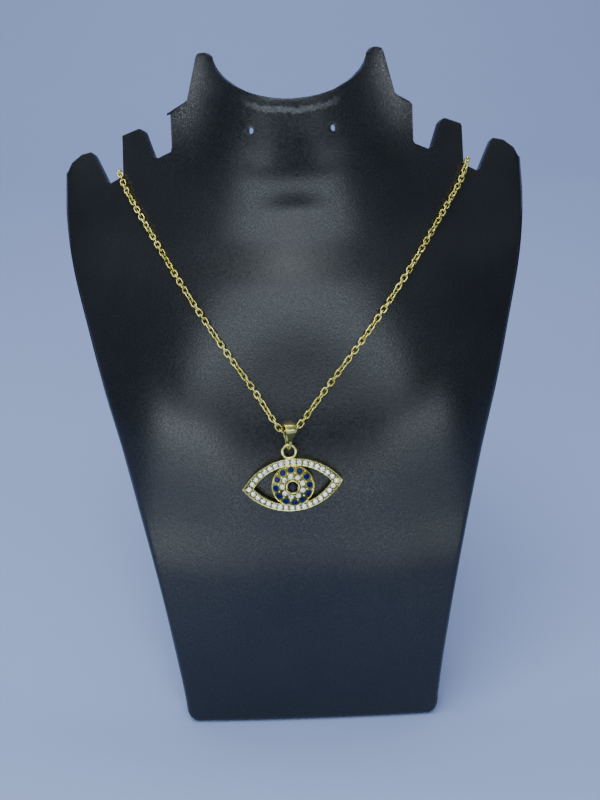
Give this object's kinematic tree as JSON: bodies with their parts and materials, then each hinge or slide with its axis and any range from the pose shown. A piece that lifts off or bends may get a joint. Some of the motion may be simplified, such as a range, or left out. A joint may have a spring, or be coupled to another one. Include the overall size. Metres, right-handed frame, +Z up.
{
  "type": "evil eye pendant necklace on neck bust stand",
  "caption": "Openwork evil eye pendant set with clear and blue stones, swinging from a folded bail on a fine cable chain, shown on a leaning black neck bust stand.",
  "frame": {"origin": "middle of the flat underside of the stand's foot, on the floor", "axes": "+Z up, -Y towards the viewer in front of the stand, +X to that viewer's right"},
  "size_m": [0.1284, 0.0784, 0.167],
  "materials": {
    "black_sheet": "black moulded sheet with a fine pebble grain and a satin sheen",
    "gold": "pale greenish yellow gold plate, polished",
    "chain_gold": "pale yellow gold plate, polished wire",
    "clear_stone": "clear faceted crystal",
    "blue_stone": "deep blue faceted crystal",
    "dark_stone": "very dark blue faceted crystal"
  },
  "bodies": {
    "stand": {"stand_shell": "black_sheet", "stand_leg": "black_sheet", "bail": "gold", "chain_front": "chain_gold", "chain_back": "chain_gold", "clasp": "chain_gold"},
    "eye": {"eye_setting": "gold", "outline_stones": "clear_stone", "pupil_stone": "dark_stone", "blue_stone_1": "blue_stone", "blue_stone_2": "blue_stone", "blue_stone_3": "blue_stone", "blue_stone_4": "blue_stone", "blue_stone_5": "blue_stone", "blue_stone_6": "blue_stone", "blue_stone_7": "blue_stone", "blue_stone_8": "blue_stone", "blue_stone_9": "blue_stone", "blue_stone_10": "blue_stone", "blue_stone_11": "blue_stone", "blue_stone_12": "blue_stone", "white_stone_1": "clear_stone", "white_stone_2": "clear_stone", "white_stone_3": "clear_stone", "white_stone_4": "clear_stone", "white_stone_5": "clear_stone", "white_stone_6": "clear_stone", "white_stone_7": "clear_stone", "white_stone_8": "clear_stone", "white_stone_9": "clear_stone"}
  },
  "joints": [
    {"name": "eye_swing", "type": "hinge", "parent": "stand", "child": "eye", "pos_m": [-0.00373, 0.00677, 0.07712], "axis": [-0.9973, -0.0171, -0.0712], "range_deg": [0, 90]}
  ]
}
